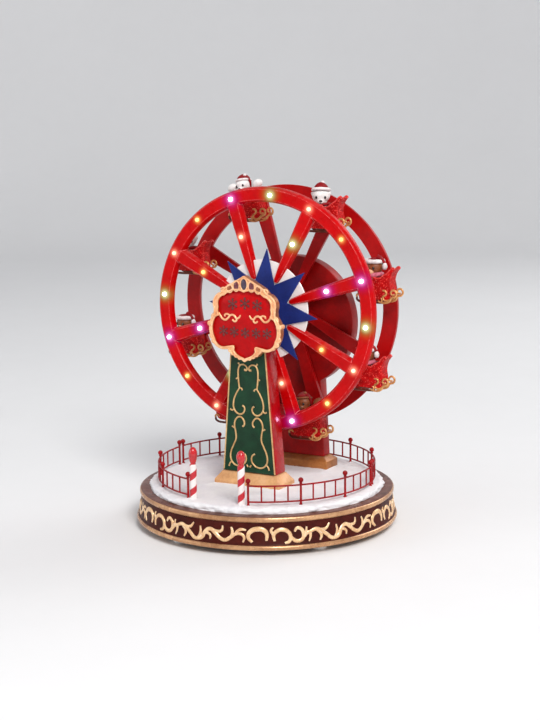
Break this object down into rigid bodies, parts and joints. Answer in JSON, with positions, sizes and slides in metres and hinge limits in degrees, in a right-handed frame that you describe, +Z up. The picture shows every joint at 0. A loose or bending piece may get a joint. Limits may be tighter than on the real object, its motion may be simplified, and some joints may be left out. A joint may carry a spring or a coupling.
{
  "type": "musical christmas ferris wheel",
  "caption": "Table-top lit ferris wheel with sleigh cars and riders, a scrolled sign on a tapering tower and a round snow-covered, fenced music base.",
  "frame": {"origin": "centre of the base on the table, at the bottom of the feet", "axes": "+Z up, -Y towards the sign side, +X to the right when facing the sign"},
  "size_m": [0.2281, 0.225, 0.2967],
  "materials": {
    "base_bronze": "satin",
    "foot_rubber": "matte",
    "dark_plastic": "matte",
    "snow": "matte",
    "wheel_red": "gloss",
    "tower_red": "satin",
    "fence_red": "satin",
    "panel_green": "satin",
    "plinth_gold": "satin",
    "sign_gold": "satin",
    "sign_red": "gloss",
    "jewel_pink": "gloss",
    "star_navy": "satin",
    "disc_white": "satin",
    "lamp_warm": "gloss",
    "lamp_amber": "gloss",
    "lamp_pink": "gloss",
    "lamp_white": "gloss",
    "steel": "satin",
    "brass": "satin",
    "gear_nylon": "matte",
    "motor_case": "matte",
    "board_green": "satin",
    "cell_wrap": "satin",
    "speaker_black": "matte",
    "pole_stripe": "gloss",
    "bulb_red": "gloss",
    "sleigh_red": "glitter",
    "rider_white": "satin",
    "rider_brown": "satin"
  },
  "bodies": {
    "base": {"base_shell": "base_bronze", "base_plate": "dark_plastic", "base_feet": "foot_rubber", "snow_deck": "snow", "battery_box": "dark_plastic", "battery_cells": "cell_wrap", "battery_door": "dark_plastic", "case_screws": "steel", "speaker": "speaker_black", "control_board": "board_green", "power_switch": "dark_plastic", "front_tower": "tower_red", "front_panel": "panel_green", "front_plinth": "plinth_gold", "back_tower": "tower_red", "back_plinth": "plinth_gold", "housing_cover": "tower_red", "gear_motor": "motor_case", "axle_bushes": "brass", "sign_board": "sign_red", "sign_frame": "sign_gold", "sign_jewels": "jewel_pink", "candy_poles": "pole_stripe", "pole_lamps": "bulb_red", "slip_brushes": "brass", "fence_front_right": "fence_red", "fence_back_right": "fence_red", "fence_back_left": "fence_red", "fence_front_left": "fence_red"},
    "wheel": {"front_ring": "wheel_red", "back_ring": "wheel_red", "star": "star_navy", "hub_disc": "disc_white", "hub_sleeve": "tower_red", "axle": "steel", "wheel_gear": "gear_nylon", "slip_rings": "brass", "hanger_rods": "steel", "lamps_warm": "lamp_warm", "lamps_amber": "lamp_amber", "lamps_pink": "lamp_pink", "lamps_white": "lamp_white"},
    "pinion": {"motor_pinion": "gear_nylon"},
    "knob": {"switch_knob": "dark_plastic"},
    "car_1": {"sleigh_1": "sleigh_red", "rider_1": "rider_white"},
    "car_2": {"sleigh_2": "sleigh_red", "rider_2": "rider_white"},
    "car_3": {"sleigh_3": "sleigh_red", "rider_3": "rider_brown"},
    "car_4": {"sleigh_4": "sleigh_red", "rider_4": "rider_white"},
    "car_5": {"sleigh_5": "sleigh_red", "rider_5": "rider_white"},
    "car_6": {"sleigh_6": "sleigh_red", "rider_6": "rider_white"},
    "car_7": {"sleigh_7": "sleigh_red", "rider_7": "rider_brown"},
    "car_8": {"sleigh_8": "sleigh_red", "rider_8": "rider_white"}
  },
  "joints": [
    {"name": "wheel_spin", "type": "hinge", "parent": "base", "child": "wheel", "pos_m": [0, 0.0203, 0.183], "axis": [0, 1, 0], "continuous": true},
    {"name": "pinion_spin", "type": "hinge", "parent": "base", "child": "pinion", "pos_m": [0, 0.066, 0.1637], "axis": [0, 1, 0], "continuous": true},
    {"name": "switch_slide", "type": "slide", "parent": "base", "child": "knob", "axis": [1, 0, 0], "range_m": [0, 0.004]},
    {"name": "car_1_swing", "type": "hinge", "parent": "wheel", "child": "car_1", "pos_m": [-0.02864, 0.0203, 0.27568], "axis": [0, 1, 0], "continuous": true},
    {"name": "car_2_swing", "type": "hinge", "parent": "wheel", "child": "car_2", "pos_m": [0.04528, 0.0203, 0.26878], "axis": [0, 1, 0], "continuous": true},
    {"name": "car_3_swing", "type": "hinge", "parent": "wheel", "child": "car_3", "pos_m": [0.09268, 0.0203, 0.21163], "axis": [0, 1, 0], "continuous": true},
    {"name": "car_4_swing", "type": "hinge", "parent": "wheel", "child": "car_4", "pos_m": [0.08578, 0.0203, 0.13772], "axis": [0, 1, 0], "continuous": true},
    {"name": "car_5_swing", "type": "hinge", "parent": "wheel", "child": "car_5", "pos_m": [0.02864, 0.0203, 0.09032], "axis": [0, 1, 0], "continuous": true},
    {"name": "car_6_swing", "type": "hinge", "parent": "wheel", "child": "car_6", "pos_m": [-0.04528, 0.0203, 0.09722], "axis": [0, 1, 0], "continuous": true},
    {"name": "car_7_swing", "type": "hinge", "parent": "wheel", "child": "car_7", "pos_m": [-0.09268, 0.0203, 0.15437], "axis": [0, 1, 0], "continuous": true},
    {"name": "car_8_swing", "type": "hinge", "parent": "wheel", "child": "car_8", "pos_m": [-0.08578, 0.0203, 0.22828], "axis": [0, 1, 0], "continuous": true}
  ],
  "couplings": [
    {"joint": "pinion_spin", "follows": "wheel_spin", "ratio": -3},
    {"joint": "car_1_swing", "follows": "wheel_spin", "ratio": -1},
    {"joint": "car_2_swing", "follows": "wheel_spin", "ratio": -1},
    {"joint": "car_3_swing", "follows": "wheel_spin", "ratio": -1},
    {"joint": "car_4_swing", "follows": "wheel_spin", "ratio": -1},
    {"joint": "car_5_swing", "follows": "wheel_spin", "ratio": -1},
    {"joint": "car_6_swing", "follows": "wheel_spin", "ratio": -1},
    {"joint": "car_7_swing", "follows": "wheel_spin", "ratio": -1},
    {"joint": "car_8_swing", "follows": "wheel_spin", "ratio": -1}
  ]
}
